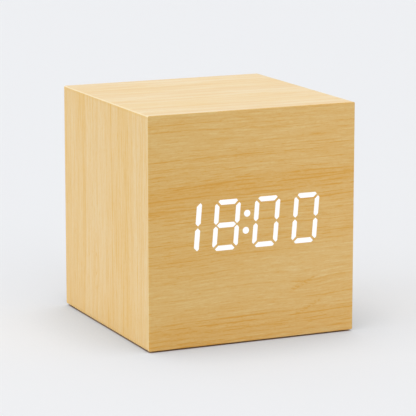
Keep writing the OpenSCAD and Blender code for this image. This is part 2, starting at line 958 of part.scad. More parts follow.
// Cup that holds the coin cell, standing on the main board
module coin_holder() {
  inner = coin_d / 2 + coin_gap;
  rim = holder_floor + coin_t;
  color("black")
    facing_back(coin_x, main_y[1], display_z)
      rotate_extrude()
        polygon([
          [0, 0], [holder_r, 0], [holder_r, rim], [inner, rim], [inner, holder_floor], [0, holder_floor]
        ]);
}

module coin_cell() {
  color("silver")
    facing_back(coin_x, main_y[1] + holder_floor, display_z)
      cylinder(d = coin_d, h = coin_t);
}

// Strip across the coin cell, with both ends down on the holder's rim
module coin_clip() {
  y = main_y[1] + holder_floor + coin_t;
  color("gainsboro")
    span([coin_x - clip_w / 2, coin_x + clip_w / 2], [y, y + clip_t],
         [display_z - holder_r, display_z + holder_r]);
}

module microphone() {
  color("dimgray")
    facing_back(header_x, main_y[1], low_row_z)
      difference() {
        cylinder(d = mic_d, h = mic_h);
        translate([0, 0, mic_h - mic_port_h])
          cylinder(d = mic_port_d, h = mic_port_h + past);
      }
}

module capacitor() {
  color("navy")
    facing_back(chip_x, main_y[1], low_row_z)
      cylinder(d = cap_d, h = cap_h);
}

// Bead on two straight wires
module temperature_sensor() {
  color("saddlebrown")
    facing_back(coin_x, main_y[1], low_row_z) {
      translate([0, 0, bead_rise])
        sphere(d = bead_d);
      for (side = [-1, 1])
        translate([side * bead_wires / 2, 0, 0])
          cylinder(d = pin_d, h = bead_rise);
    }
}

module segment_resistors() {
  color("black")
    for (k = [0:resistor_count - 1])
      translate([resistor_x + k * resistor_pitch, main_y[1], top_row_z - resistor_l / 2])
        cube([resistor_w, resistor_h, resistor_l]);
}

// Cable header against a board, at a height
module header(y, z) {
  color("ivory")
    span([header_x - header_w / 2, header_x + header_w / 2], y, [z - header_h / 2, z + header_h / 2]);
}

module main_header() {
  header([main_y[1], header_end_y], top_row_z);
}

module control_header() {
  header([control_y[0] - header_t, control_y[0]], plate_z);
}

// Length and drop of the ribbon cable between its headers
ribbon_run = control_y[0] - header_t - header_end_y;
ribbon_drop = top_row_z - plate_z;

// Middle line of the ribbon cable, at a share of the way
function ribbon_at(t) = [
  header_end_y + ribbon_run * t,
  top_row_z - ribbon_drop * t * t * (3 - 2 * t) - ribbon_sag * sin(180 * t) * sin(180 * t)
];

// Square to the ribbon's middle line, half its thickness long. The line leaves both headers level.
function ribbon_side(t) =
  let (slope = -6 * ribbon_drop * t * (1 - t) - ribbon_sag * PI * sin(360 * t))
  let (way = [ribbon_run, slope])
  [-way.y, way.x] * ribbon_t / 2 / norm(way);

module ribbon_cable() {
  steps = 24;
  color("lightgray")
    along_x([header_x - ribbon_w / 2, header_x + ribbon_w / 2])
      polygon([
        for (k = [0:steps]) ribbon_at(k / steps) + ribbon_side(k / steps),
        for (k = [steps:-1:0]) ribbon_at(k / steps) - ribbon_side(k / steps)
      ]);
}

module control_board() {
  color("darkgreen")
    difference() {
      along_y(control_y)
        translate([0, plate_z])
          square(2 * [plate_x + control_reach, post_z + control_reach], center = true);
      control_screw_places()
        small_hole(pcb_t + past);
    }
}

// Places of the control board's screws, on its inner face and pointing to the front
module control_screw_places() {
  four_corners(plate_x, [plate_z - post_z, plate_z + post_z])
    translate([0, control_y[0], 0])
      rotate([90, 0, 0])
        children();
}

module control_board_screws() {
  color("silver")
    control_screw_places()
      small_screw(pcb_t);
}

// Places of the flange's screws, on its inner face and pointing to the front
module plate_screw_places() {
  four_corners(flange_screw_x, [plate_z - flange_screw_z, plate_z + flange_screw_z])
    translate([0, flange_y, 0])
      rotate([90, 0, 0])
        children();
}

module plate_screws() {
  color("silver")
    plate_screw_places()
      small_screw(flange_t);
}

// Plate seen at the back, with the tub behind it, its flange and the posts for the control board
module control_plate() {
  color("black")
    difference() {
      union() {
        along_y([flange_y, plate_y[1]])
          plate_outline(0);
        along_y([flange_y, back_in_y])
          translate([0, plate_z])
            rounded_rect(2 * (plate_x + flange_side), plate_h + 2 * flange_rise, plate_r);
        four_corners(plate_x, [plate_z - post_z, plate_z + post_z])
          facing_back(0, control_y[1], 0)
            cylinder(d = post_d, h = post_l + flange_t / 2);
      }
      along_y([flange_y - past, plate_y[0]])
        translate([0, plate_z])
          rounded_rect(2 * tub_x, plate_h - 2 * tub_wall, plate_r);
      along_y([plate_y[0] - past, plate_y[1] + past])
        plate_holes();
      plate_screw_places()
        small_hole(flange_t + past);
      control_screw_places()
        small_hole(pcb_t + small_bite + tip_room);
    }
}

// Holes in the plate's face for the buttons, the socket and the sound
module plate_holes() {
  for (k = button_rows)
    translate([k * button_pitch, plate_z])
      circle(d = button_d + 2 * button_gap);
  translate([socket_x, plate_z])
    stadium(socket_w + 2 * panel_gap, socket_h + 2 * panel_gap);
  translate([buzzer_x, plate_z]) {
    circle(d = sound_d);
    for (k = [0:sound_count - 1])
      rotate(k * 360 / sound_count)
        translate([sound_r, 0])
          circle(d = sound_d);
  }
}

module switch_bodies() {
  deep = plunger_depth + button_travel + plunger_room;
  color("dimgray")
    for (k = button_rows)
      facing_back(k * button_pitch, control_y[1], plate_z)
        difference() {
          translate([-switch_s / 2, -switch_s / 2, 0])
            cube([switch_s, switch_s, switch_h]);
          translate([0, 0, switch_h - deep])
            cylinder(d = plunger_d + 2 * plunger_gap, h = deep + past);
        }
}

// Button with the flange that keeps it behind the plate. Its mark is drawn on the face.
module button(k) {
  h = button_end_y - button_y;
  r = button_d / 2;
  color("darkslategray")
    facing_back(k * button_pitch, button_y, plate_z)
      difference() {
        rotate_extrude()
          polygon([
            [0, 0], [button_flange_d / 2, 0], [button_flange_d / 2, button_flange_t],
            [r, button_flange_t], [r, h - button_chamfer], [r - button_chamfer, h], [0, h]
          ]);
        translate([0, 0, h - mark_depth])
          linear_extrude(mark_depth + past)
            children();
      }
}

// Plunger of the switch under a button, up to the button's back
module plunger(k) {
  color("black")
    facing_back(k * button_pitch, switch_y - plunger_depth, plate_z)
      cylinder(d = plunger_d, h = button_y - switch_y + plunger_depth);
}

// Triangle that points up on the back, or down where up is -1
module arrow(up) {
  polygon([for (turn = [90, 210, 330]) mark_r * [cos(turn), -up * sin(turn)]]);
}

module set_button() {
  button(1)
    difference() {
      circle(mark_r);
      circle(mark_r - mark_line);
    }
}

module set_plunger() {
  plunger(1);
}

module up_button() {
  button(0)
    arrow(1);
}

module up_plunger() {
  plunger(0);
}

module down_button() {
  button(-1)
    arrow(-1);
}

module down_plunger() {
  plunger(-1);
}

module power_shell() {
  color("silver")
    along_y([control_y[1], socket_y])
      translate([socket_x, plate_z])
        difference() {
          stadium(socket_w, socket_h);
          stadium(socket_w - 2 * socket_wall, socket_h - 2 * socket_wall);
        }
}

// Contact tongue of the power socket on its base
module power_tongue() {
  inner = 2 * (socket_wall + pin_gap);
  color("black") {
    along_y([control_y[1], control_y[1] + tongue_base])
      translate([socket_x, plate_z])
        stadium(socket_w - inner, socket_h - inner);
    span([socket_x - tongue_w / 2, socket_x + tongue_w / 2],
         [control_y[1] + tongue_base, socket_y - tongue_sink],
         [plate_z - tongue_t / 2, plate_z + tongue_t / 2]);
  }
}

module buzzer() {
  color("black")
    facing_back(buzzer_x, control_y[1], plate_z)
      difference() {
        cylinder(d = buzzer_d, h = buzzer_h);
        translate([0, 0, buzzer_h - buzzer_port_h])
          cylinder(d = buzzer_port_d, h = buzzer_port_h + past);
      }
}

// Places of the battery box's screws, on its ears and pointing up
module box_screw_places() {
  reach = bay_y + box_wall + ear_l / 2;
  for (x = [-1, 1])
    for (y = [-1, 1])
      translate([x * ear_screws / 2, y * reach, in_z[0] + ear_t])
        children();
}

// Box that is open below. Its walls go down through the base to the underside.
module battery_box() {
  x = bay_x + box_wall;
  y = bay_y + box_wall;
  reach = y + ear_l;
  door_z = base_z + door_t + stop_gap;
  color("black")
    difference() {
      union() {
        difference() {
          union() {
            span([-x, x], [-y, y], [base_z, box_z]);
            span([-ear_w / 2, ear_w / 2], [-reach, reach], [in_z[0], in_z[0] + ear_t]);
          }
          span([-bay_x, bay_x], [-bay_y, bay_y], [base_z - past, bay_z]);
        }
        for (side = [-1, 1])
          translate([side * (bay_x - stop_s / 2) - stop_s / 2, bay_y - stop_s, door_z])
            cube([stop_s, stop_s, stop_h]);
      }
      translate([-bay_x - hinge_pin_l - door_gap, hinge_y, hinge_z])
        rotate([0, 90, 0])
          cylinder(d = hinge_pin_d + 2 * hinge_gap, h = 2 * (bay_x + hinge_pin_l + door_gap));
      span([-notch_w / 2, notch_w / 2], [bay_y - past, y + past], [base_z - past, base_z + notch_h]);
      for (side = [-1, 1])
        tab_slot(side);
      box_screw_places()
        small_hole(ear_t + past);
    }
}

// Depth of a cell from the middle one, towards the back
function cell_y(k) = k * cell_step;

// Slot in the box's roof for the solder tab at one end
module tab_slot(side) {
  g = panel_gap;
  x = side > 0 ? [bay_x - contact_t - g, bay_x] : [-bay_x, -bay_x + contact_t + g];
  span(x, [cell_y(-side) - tab_w / 2 - g, cell_y(-side) + tab_w / 2 + g], [bay_z - past, box_z + past]);
}

module box_screws() {
  color("silver")
    box_screw_places()
      small_screw(ear_t);
}

// Three cells side by side, each the other way round from its neighbour
module battery_cells() {
  color("steelblue")
    for (k = cell_rows)
      translate([0, cell_y(k), cell_z])
        mirror([k == 0 ? 1 : 0, 0, 0])
          translate([bay_x - contact_t, 0, 0])
            rotate([0, -90, 0]) {
              cylinder(d = nub_d, h = nub_l);
              translate([0, 0, nub_l])
                cylinder(d = cell_d, h = cell_l - nub_l);
            }
}

// Contact plates on the box's end walls. At each end one joins two cells and one has a solder tab.
module contact_plates() {
  s = contact_s / 2;
  color("silver")
    for (side = [-1, 1])
      mirror([side > 0 ? 0 : 1, 0, 0]) {
        x = [bay_x - contact_t, bay_x];
        single = cell_y(-side);
        pair = [min(cell_y(0), cell_y(side)) - s, max(cell_y(0), cell_y(side)) + s];
        span(x, pair, [cell_z - s, cell_z + s]);
        span(x, [single - s, single + s], [cell_z - s, cell_z + s]);
        span(x, [single - tab_w / 2, single + tab_w / 2], [cell_z, tab_z]);
      }
}

// Middle line of a contact spring: square off its plate, along its curls and square onto the cell
spring_steps = spring_curls * spring_rings;
spring_path = [
  [0, spring_wide, 0],
  for (k = [0:spring_steps])
    let (t = k / spring_steps)
    let (r = spring_wide + (spring_narrow - spring_wide) * t)
    let (turn = 360 * spring_curls * t)
    [spring_wire + (spring_l - 2 * spring_wire) * t, r * cos(turn), r * sin(turn)],
  [spring_l, spring_narrow * cos(360 * spring_curls), spring_narrow * sin(360 * spring_curls)]
];

// Least gap between curls, taken between points more than half a curl apart
spring_gap = min([
  for (i = [0:len(spring_path) - 1])
    for (j = [i + spring_rings / 2 + 1:1:len(spring_path) - 1])
      norm(spring_path[i] - spring_path[j])
]) - spring_wire;
echo(contact_spring_least_gap = spring_gap);

function unit(v) = v / norm(v);

// Way along the spring's middle line from one of its points to the next
function spring_way(i) = unit(spring_path[i + 1] - spring_path[i]);

// Ring of points round one point of the spring's middle line, halfway between the ways to it and on
function spring_ring(i) =
  let (p = spring_path[i])
  let (last = len(spring_path) - 2)
  let (way = unit(spring_way(max(i - 1, 0)) + spring_way(min(i, last))))
  let (out = [0, p.y, p.z])
  let (side = unit(out - (out * way) * way))
  let (up = cross(way, side))
  [for (k = [0:spring_sides - 1])
    let (turn = 360 * k / spring_sides)
    p + spring_wire / 2 * (cos(turn) * side + sin(turn) * up)];

// One tube along a list of rings, closed at both ends, in triangles
module tube(rings, sides) {
  last = len(rings) - 1;
  polyhedron(
    points = [for (ring = rings) each ring],
    faces = [
      for (i = [0:last - 1])
        for (k = [0:sides - 1])
          let (a = i * sides + k)
          let (b = i * sides + (k + 1) % sides)
          each [[a, a + sides, b], [b, a + sides, b + sides]],
      for (k = [1:sides - 2]) [0, k, k + 1],
      for (k = [1:sides - 2]) [last * sides, last * sides + k + 1, last * sides + k]
    ]
  );
}

module contact_springs() {
  rings = [for (i = [0:len(spring_path) - 1]) spring_ring(i)];
  color("silver")
    for (k = cell_rows)
      translate([0, cell_y(k), cell_z])
        mirror([k == 0 ? 1 : 0, 0, 0])
          translate([contact_t - bay_x, 0, 0])
            tube(rings, spring_sides);
}

// Door with a round barrel along its hinge edge and a pin at each end of the barrel
module battery_door() {
  x = bay_x - door_gap;
  end_y = bay_y - door_gap;
  color("black")
    difference() {
      union() {
        span([-x, x], [hinge_y, end_y], [base_z, base_z + door_t]);
        translate([-x, hinge_y, hinge_z])
          rotate([0, 90, 0])
            cylinder(r = hinge_r, h = 2 * x);
        translate([-bay_x - hinge_pin_l, hinge_y, hinge_z])
          rotate([0, 90, 0])
            cylinder(d = hinge_pin_d, h = 2 * (bay_x + hinge_pin_l));
      }
      for (k = [1:groove_count])
        translate([-groove_l / 2, end_y - k * groove_pitch - groove_w, base_z - past])
          cube([groove_l, groove_w, groove_h + past]);
    }
}

// Battery lead: up from a solder tab, round a bend and forward to the main board
module battery_lead(side) {
  y = cell_y(-side);
  translate([side * lead_x, 0, 0]) {
    translate([0, y, tab_z])
      cylinder(d = wire_d, h = wire_z - wire_bend - tab_z);
    translate([0, y - wire_bend, wire_z - wire_bend])
      rotate([90, 0, 90])
        rotate_extrude(angle = 90)
          translate([wire_bend, 0])
            circle(d = wire_d);
    facing_back(0, main_y[1], wire_z)
      cylinder(d = wire_d, h = y - wire_bend - main_y[1]);
  }
}

module positive_lead() {
  color("red")
    battery_lead(1);
}

module negative_lead() {
  color("black")
    battery_lead(-1);
}

front_veneer();
lit_segments();
front_panel();
top_panel();
bottom_panel();
left_panel();
right_panel();
side_film();
back_panel();
back_veneer();
corner_blocks();
back_screws();
foot_pads();
display_housing();
segment_lenses();
led_dice();
display_board();
display_pins();
main_board();
standoffs();
board_screws();
clock_chip();
chip_leads();
crystal_can();
coin_holder();
coin_cell();
coin_clip();
microphone();
capacitor();
temperature_sensor();
segment_resistors();
main_header();
ribbon_cable();
control_header();
control_board();
control_board_screws();
control_plate();
plate_screws();
switch_bodies();
set_button();
set_plunger();
up_button();
up_plunger();
down_button();
down_plunger();
power_shell();
power_tongue();
buzzer();
battery_box();
box_screws();
battery_cells();
contact_plates();
contact_springs();
battery_door();
positive_lead();
negative_lead();
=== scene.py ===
"""Cube alarm clock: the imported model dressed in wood, plastic and metal, on a pale studio floor."""
import json
import math
from collections import namedtuple

import bpy
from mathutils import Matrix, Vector

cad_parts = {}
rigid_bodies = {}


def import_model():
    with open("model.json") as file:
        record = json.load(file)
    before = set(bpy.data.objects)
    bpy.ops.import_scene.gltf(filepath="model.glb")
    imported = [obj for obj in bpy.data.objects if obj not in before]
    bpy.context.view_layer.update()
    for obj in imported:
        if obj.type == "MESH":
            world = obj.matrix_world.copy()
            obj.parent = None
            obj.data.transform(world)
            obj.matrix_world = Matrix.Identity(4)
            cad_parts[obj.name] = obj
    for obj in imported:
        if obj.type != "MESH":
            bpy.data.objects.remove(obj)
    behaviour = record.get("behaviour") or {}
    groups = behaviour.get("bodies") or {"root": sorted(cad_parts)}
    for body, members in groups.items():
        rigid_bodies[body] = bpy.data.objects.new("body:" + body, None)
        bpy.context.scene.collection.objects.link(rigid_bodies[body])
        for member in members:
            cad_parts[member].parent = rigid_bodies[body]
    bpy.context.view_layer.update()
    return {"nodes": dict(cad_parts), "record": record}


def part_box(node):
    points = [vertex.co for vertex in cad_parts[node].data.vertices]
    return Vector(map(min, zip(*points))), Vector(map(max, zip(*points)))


for unwanted in list(bpy.data.objects):
    bpy.data.objects.remove(unwanted)
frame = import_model()
nodes = frame["nodes"]

# A millimetre in metres, and the case in millimetres
MM = 0.001
CASE_LOW, CASE_HIGH = (Vector(c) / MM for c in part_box("side_film"))
HALF_W = CASE_HIGH.x
HALF_H = (CASE_HIGH.z - CASE_LOW.z) / 2
MID_Z = (CASE_LOW.z + CASE_HIGH.z) / 2

WHITE = 1.0, 1.0, 1.0, 1.0

# Range that holds most of a noise's values
SPREAD = 0.3, 0.7


def tone(r, g, b):
    """A colour as a screen shows it, 0 to 255, as the linear values that shaders take."""
    def linear(v):
        v /= 255
        return v / 12.92 if v <= 0.04045 else ((v + 0.055) / 1.055) ** 2.4
    return (linear(r), linear(g), linear(b), 1.0)


class Wiring:
    """Short calls that add and link the nodes of a material or a world."""

    def __init__(self, tree):
        self.tree = tree

    def put(self, socket, value):
        """Sets a node's input, to a link where the value is another node's output."""
        if isinstance(value, bpy.types.NodeSocket):
            self.tree.links.new(value, socket)
        else:
            socket.default_value = value

    def node(self, kind, inputs=(), **props):
        made = self.tree.nodes.new("ShaderNode" + kind)
        for name, value in props.items():
            setattr(made, name, value)
        for name, value in dict(inputs).items():
            self.put(made.inputs[name], value)
        return made

    def math(self, operation, *values):
        made = self.node("Math", operation=operation)
        for socket, value in zip(made.inputs, values):
            self.put(socket, value)
        return made.outputs[0]

    def add(self, a, b):
        return self.math("ADD", a, b)

    def minus(self, a, b):
        return self.math("SUBTRACT", a, b)

    def times(self, a, b):
        return self.math("MULTIPLY", a, b)

    def unsigned(self, a):
        return self.math("ABSOLUTE", a)

    def total(self, *terms):
        """Sum of values, each times its weight."""
        result, *others = [self.times(value, weight) for value, weight in terms]
        for other in others:
            result = self.add(result, other)
        return result

    def step(self, value, low, high, out_low=0.0, out_high=1.0):
        """Value eased from out_low at low to out_high at high."""
        made = self.node("MapRange", interpolation_type="SMOOTHSTEP", inputs={
            "Value": value, "From Min": low, "From Max": high, "To Min": out_low, "To Max": out_high})
        return made.outputs["Result"]

    def between(self, share, a, b):
        """Number that goes from a to b as share goes from 0 to 1."""
        return self.node("Mix", data_type="FLOAT", inputs={0: share, 2: a, 3: b}).outputs[0]

    def mix(self, share, a, b, blend="MIX"):
        """Colour a with b blended in."""
        made = self.node("Mix", data_type="RGBA", blend_type=blend)
        colours = [s for s in made.inputs if s.type == "RGBA"]
        self.put(made.inputs[0], share)
        self.put(colours[0], a)
        self.put(colours[1], b)
        return [s for s in made.outputs if s.type == "RGBA"][0]

    def shaders(self, share, a, b):
        """Shader that goes from a to b as share goes from 0 to 1."""
        return self.node("MixShader", inputs={0: share, 1: a.outputs[0], 2: b.outputs[0]})

    def looking_rays(self):
        """1 for the rays that show the backdrop: from the camera, off gloss or through glass."""
        rays = self.node("LightPath").outputs
        indirect = self.math("MAXIMUM", rays["Is Glossy Ray"], rays["Is Transmission Ray"])
        return self.math("MAXIMUM", rays["Is Camera Ray"], indirect)


class Paint(Wiring):
    """A material, with what its shader needs."""

    def __init__(self, name, **sockets):
        self.material = bpy.data.materials.new(name)
        self.material.use_nodes = True
        super().__init__(self.material.node_tree)
        self.shader = self.tree.nodes["Principled BSDF"]
        for socket, value in sockets.items():
            self.set(socket.replace("_", " "), value)

    def set(self, socket, value):
        self.put(self.shader.inputs[socket], value)

    def parts(self, vector):
        return tuple(self.node("SeparateXYZ", inputs={"Vector": vector}).outputs)

    def point(self, x, y, z):
        return self.node("CombineXYZ", inputs={"X": x, "Y": y, "Z": z}).outputs[0]

    def place(self):
        """The point's own coordinates on its piece, in millimetres."""
        metres = self.node("TexCoord").outputs["Object"]
        scaled = self.node("VectorMath", operation="SCALE", inputs={"Vector": metres, "Scale": 1 / MM})
        return self.parts(scaled.outputs[0])

    def facing(self):
        """The surface's direction on its piece."""
        return self.parts(self.node("TexCoord").outputs["Normal"])

    def noise(self, x, y, z, detail=2.0, roughness=0.5):
        made = self.node("TexNoise", inputs={
            "Vector": self.point(x, y, z), "Scale": 1.0, "Detail": detail, "Roughness": roughness})
        return made.outputs["Fac"]

    def speckle(self, place, fineness, **look):
        """Noise that is alike in every direction, with fineness as its changes to a millimetre."""
        return self.noise(*[self.times(c, fineness) for c in place], **look)

    def bump(self, height, depth_mm, strength):
        made = self.node("Bump", inputs={
            "Height": height, "Distance": depth_mm * MM, "Strength": strength})
        self.set("Normal", made.outputs[0])


# Dense band of grain: its middle and half width across the grain, and its weight
Band = namedtuple("Band", "middle half weight")
# Knot: its place and size along and across the grain, its lift of the lines, and the loops in its heart
Knot = namedtuple("Knot", "along across length width lift loops")

# How far the grain's lines sway and wobble, in millimetres
SWAY = 2.4
WOBBLE = 0.35

# Trail of flecks: distances from its line where it starts and is full, the fade at its ends, its strength
TRAIL_EDGE = 0.8, 0.2
TRAIL_FADE = 0.6
TRAIL_STRENGTH = 0.7


def bell(p, square):
    """1 in the middle, fading out where the square of the distance passes 1."""
    return p.math("EXPONENT", p.times(square, -1.0))


def stripes(p, value, width):
    """One thin line to each whole step of a value, fading over width to both sides."""
    return p.step(p.unsigned(p.add(p.math("FRACT", value), -0.5)), width, 0.0)


def grain(p, along, across, seed, tones, bands, knots, bold, tilt=0.0, reach=1.0, coarse=1.0):
    """Wood whose grain runs along one coordinate, both in millimetres. Returns its colour and its relief.

    Bands and knots are placed where they are listed. Bold deepens the long lines, tilt slants them, and
    reach and coarse lengthen and widen the streaks.
    """
    light, base, dark = tones
    sway = p.noise(p.times(along, 0.02), p.times(across, 0.05), seed, detail=1.0)
    wobble = p.noise(p.times(along, 0.11), p.times(across, 0.35), seed + 1.9, detail=1.0)
    stray = p.total((p.add(sway, -0.5), SWAY), (p.add(wobble, -0.5), WOBBLE), (along, tilt))
    lines = p.add(across, stray)
    hearts = []
    for knot in knots:
        u = p.times(p.add(along, -knot.along), 1 / knot.length)
        v = p.times(p.add(across, -knot.across), 1 / knot.width)
        square = p.add(p.times(u, u), p.times(v, v))
        lines = p.add(lines, p.times(bell(p, square), knot.lift))
        if knot.loops:
            radius = p.total((p.math("SQRT", square), knot.loops), (wobble, 1.2))
            hearts.append(p.times(stripes(p, radius, 0.25), p.step(square, 1.8, 0.1)))

    def field(way, cross, shift, detail=2.0, roughness=0.5):
        """Noise drawn out along the grain, with its changes to a millimetre along it and across it."""
        return p.noise(p.times(along, way), p.times(lines, cross), seed + shift, detail, roughness)

    def rings(cross, shift, width):
        """Thin lines along the grain, unevenly spaced, about cross of them to a millimetre."""
        drift = field(0.012, 0.6 * cross / coarse, shift, detail=1.0)
        return stripes(p, p.total((lines, cross / coarse), (drift, 1.6)), width)

    def patches(way, cross, shift, low, high):
        """Stretches along the grain where a field goes from low to high."""
        return p.step(field(way / reach, cross / coarse, shift), low, high)

    cloud = field(way=0.012, cross=0.13, shift=3.7)
    ribbons = field(way=0.016, cross=0.6 / coarse, shift=52.6, detail=3.0, roughness=0.6)
    fibres = field(way=0.12 / reach, cross=2.4 / coarse, shift=23.9, detail=3.0, roughness=0.65)
    hairs = field(way=0.42 / reach, cross=3.1 / coarse, shift=41.2, roughness=0.7)
    pores = field(way=1.1, cross=3.3, shift=63.8, detail=1.0)
    dense = p.add(p.step(cloud, 0.43, 0.66, 0.0, 0.7), p.step(ribbons, 0.42, 0.64, 0.0, 0.5))
    for band in bands:
        v = p.times(p.add(lines, -band.middle), 1 / band.half)
        dense = p.add(dense, p.times(bell(p, p.times(v, v)), band.weight))

    long_lines = p.times(
        rings(cross=0.4, shift=9.1, width=0.13),
        patches(way=0.065, cross=0.9, shift=13.3, low=0.4, high=0.58))
    short_lines = p.times(
        rings(cross=0.95, shift=17.3, width=0.22),
        patches(way=0.13, cross=1.7, shift=19.6, low=0.43, high=0.6))
    short_lines = p.times(short_lines, p.add(p.times(dense, 0.65), 0.35))
    flecks = patches(way=0.26, cross=2.4, shift=31.4, low=0.63, high=0.76)
    streaks = p.total((long_lines, bold), (short_lines, 0.75), (flecks, 0.55))
    stain = p.total(
        (streaks, p.add(p.times(dense, 0.3), 0.7)), (dense, 0.24), (p.step(pores, 0.5, 0.72), 0.22),
        (p.step(fibres, 0.45, 0.72), 0.26), (p.step(hairs, 0.47, 0.75), 0.3))
    colour = p.mix(p.step(p.total((fibres, 0.6), (hairs, 0.4)), 0.5, 0.32), base, light)
    colour = p.mix(p.math("MINIMUM", stain, 1.0), colour, dark)
    for heart in hearts:
        colour = p.mix(p.times(heart, 0.6), colour, dark)
    relief = p.total((fibres, 0.7), (streaks, -0.3))
    return colour, relief


def fleck_trail(p, x, z, start, end, colour, dark):
    """Short dark flecks along a slanted line, as where the fibres break through the sheet's face."""
    span = Vector(end) - Vector(start)
    way = span.normalized()
    right, up = p.add(x, -start[0]), p.add(z, -start[1])
    along = p.total((right, way.x), (up, way.y))
    aside = p.total((right, -way.y), (up, way.x))
    line = p.step(p.unsigned(aside), *TRAIL_EDGE)
    begun = p.step(along, -TRAIL_FADE, TRAIL_FADE)
    going = p.step(along, span.length + TRAIL_FADE, span.length - TRAIL_FADE)
    flecks = p.step(p.noise(p.times(x, 0.75), p.times(z, 2.2), 37.1, detail=1.0), 0.44, 0.58)
    share = p.times(p.times(line, p.times(begun, going)), p.times(flecks, TRAIL_STRENGTH))
    return p.mix(share, colour, dark)


# Front and back sheets: light, base and dark tone, painted shade that darkens them towards the left, tone
# of the painted highlight on their edges, grain and trails of flecks
FRONT_TONES = tone(232, 203, 141), tone(228, 191, 123), tone(221, 164, 65)
FRONT_LEFT_SHADE = 0.945, 0.935, 0.87, 1.0
RIM_HIGHLIGHT = tone(247, 220, 164)
FRONT_BANDS = Band(43.0, 5.0, 1.0), Band(3.0, 5.0, 0.6), Band(33.0, 6.0, 0.3), Band(15.0, 8.0, -0.35)
FRONT_KNOT = Knot(along=15.5, across=15.0, length=9.0, width=3.6, lift=1.0, loops=0.0)
FRONT_TRAILS = ((11.5, 13.5), (19.0, 16.5)), ((13.0, 6.5), (20.5, 10.0))


def front_wood():
    """Front and back sheets: grain across, with a soft figure low on the right."""
    p = Paint("front_wood", IOR=1.5)
    x, _, z = p.place()
    face, relief = grain(p, x, z, 4.3, FRONT_TONES, FRONT_BANDS, [FRONT_KNOT], bold=0.42, tilt=-0.02)
    for start, end in FRONT_TRAILS:
        face = fleck_trail(p, x, z, start, end, face, FRONT_TONES[2])
    # Painted shade: the sheet grows gradually darker towards its left edge
    face = p.mix(p.step(x, HALF_W, -HALF_W), face, FRONT_LEFT_SHADE, blend="MULTIPLY")
    _, facing_y, _ = p.facing()
    # Painted highlight: a pale tone on the sheet's edge faces, those that face sideways
    rim_highlight = p.step(p.unsigned(facing_y), 0.5, 0.3)
    p.set("Base Color", p.mix(rim_highlight, face, RIM_HIGHLIGHT))
    p.set("Roughness", p.step(relief, *SPREAD, 0.5, 0.62))
    p.bump(relief, depth_mm=0.03, strength=0.12)
    return p.material


# Film on the sides: light, base and dark tone, painted sheen on the top and base, painted highlight on
# the folds, and grain bands, the first of them painted shade along the back edge.
# The knot is on the left side, KNOT_Z above the table.
FILM_TONES = tone(241, 215, 160), tone(240, 207, 146), tone(233, 184, 77)
FILM_TOP_SHEEN = 1.04, 1.125, 1.37, 1.0
FOLD_HIGHLIGHT = tone(250, 230, 186)
# The first band is painted shade along the back edge; the others are grain
FILM_BANDS_AND_BACK_SHADE = Band(30.0, 1.8, 0.8), Band(17.0, 2.5, 0.7), Band(-12.5, 4.5, 0.6)
KNOT_Z = 16.5
FILM_KNOT = Knot(
    along=KNOT_Z - MID_Z - HALF_W - HALF_H, across=7.0, length=7.0, width=2.6, lift=1.2, loops=2.0)


def side_wood():
    """Film folded round the case: its grain runs round the four sides."""
    p = Paint("side_wood", IOR=1.5)
    x, y, z = p.place()
    from_mid = p.add(z, -MID_Z)
    away_x, away_z = p.unsigned(x), p.unsigned(from_mid)
    on_side = p.math("GREATER_THAN", p.times(away_x, 1 / HALF_W), p.times(away_z, 1 / HALF_H))
    along_side = p.times(p.math("SIGN", x), p.minus(HALF_W + HALF_H, from_mid))
    along_level = p.add(x, p.times(p.math("LESS_THAN", from_mid, 0.0), 4 * HALF_W))
    along = p.between(on_side, along_level, along_side)
    inward_z = p.minus(HALF_H, away_z)
    across = p.add(y, p.math("MINIMUM", p.minus(HALF_W, away_x), inward_z))
    colour, relief = grain(
        p, along, across, 11.7, FILM_TONES, FILM_BANDS_AND_BACK_SHADE, [FILM_KNOT], bold=0.4, reach=1.8, coarse=1.4)

    # The top and base have fine strips of grain, and the sides have painted shade just below their folds,
    # towards their back and at their foot
    fine = p.noise(p.times(along, 0.022), p.times(across, 0.34), 61.3, roughness=0.8)
    strips = p.step(fine, 0.44, 0.6, 0.0, 0.45)
    fold_shade = p.step(inward_z, 1.3, 0.4, 0.0, 0.3)
    back = p.step(y, 12.0, 30.0, 0.0, 0.2)
    foot_shade = p.step(z, 16.0, 2.0, 0.0, 0.08)
    strips_and_shade = p.between(on_side, strips, p.add(fold_shade, p.add(back, foot_shade)))
    # Painted sheen: the top and base are made paler and cooler than the sides
    colour = p.mix(on_side, p.mix(1.0, colour, FILM_TOP_SHEEN, blend="MULTIPLY"), colour)
    colour = p.mix(strips_and_shade, colour, FILM_TONES[2])
    facing_x, _, facing_z = p.facing()
    # Painted highlight along the folds between the top and the sides
    fold_highlight = p.step(p.times(p.unsigned(facing_x), facing_z), 0.25, 0.47)
    p.set("Base Color", p.mix(fold_highlight, colour, FOLD_HIGHLIGHT))
    p.set("Roughness", p.step(relief, *SPREAD, 0.28, 0.38))
    p.bump(relief, depth_mm=0.02, strength=0.25)
    return p.material


def fibreboard():
    """Pressed fibres, pale and dark, with a rough skin."""
    p = Paint("fibreboard", Roughness=0.85)
    chips = p.speckle(p.place(), 2.2, detail=4.0, roughness=0.7)
    p.set("Base Color", p.mix(p.step(chips, *SPREAD), tone(150, 112, 74), tone(184, 146, 104)))
    p.bump(chips, depth_mm=0.08, strength=0.5)
    return p.material


def lit():
    """Veneer with light behind it: white, a little dimmer where the fibres are dense."""
    p = Paint("lit", Base_Color=tone(30, 28, 24), Roughness=0.6, Emission_Strength=1.0)
    x, _, z = p.place()
    fibres = p.noise(p.times(x, 0.16), p.times(z, 5.0), 2.0)
    dimmer = 0.96, 0.955, 0.94, 1.0
    p.set("Emission Color", p.mix(p.step(fibres, 0.3, 0.8), WHITE, dimmer))
    return p.material


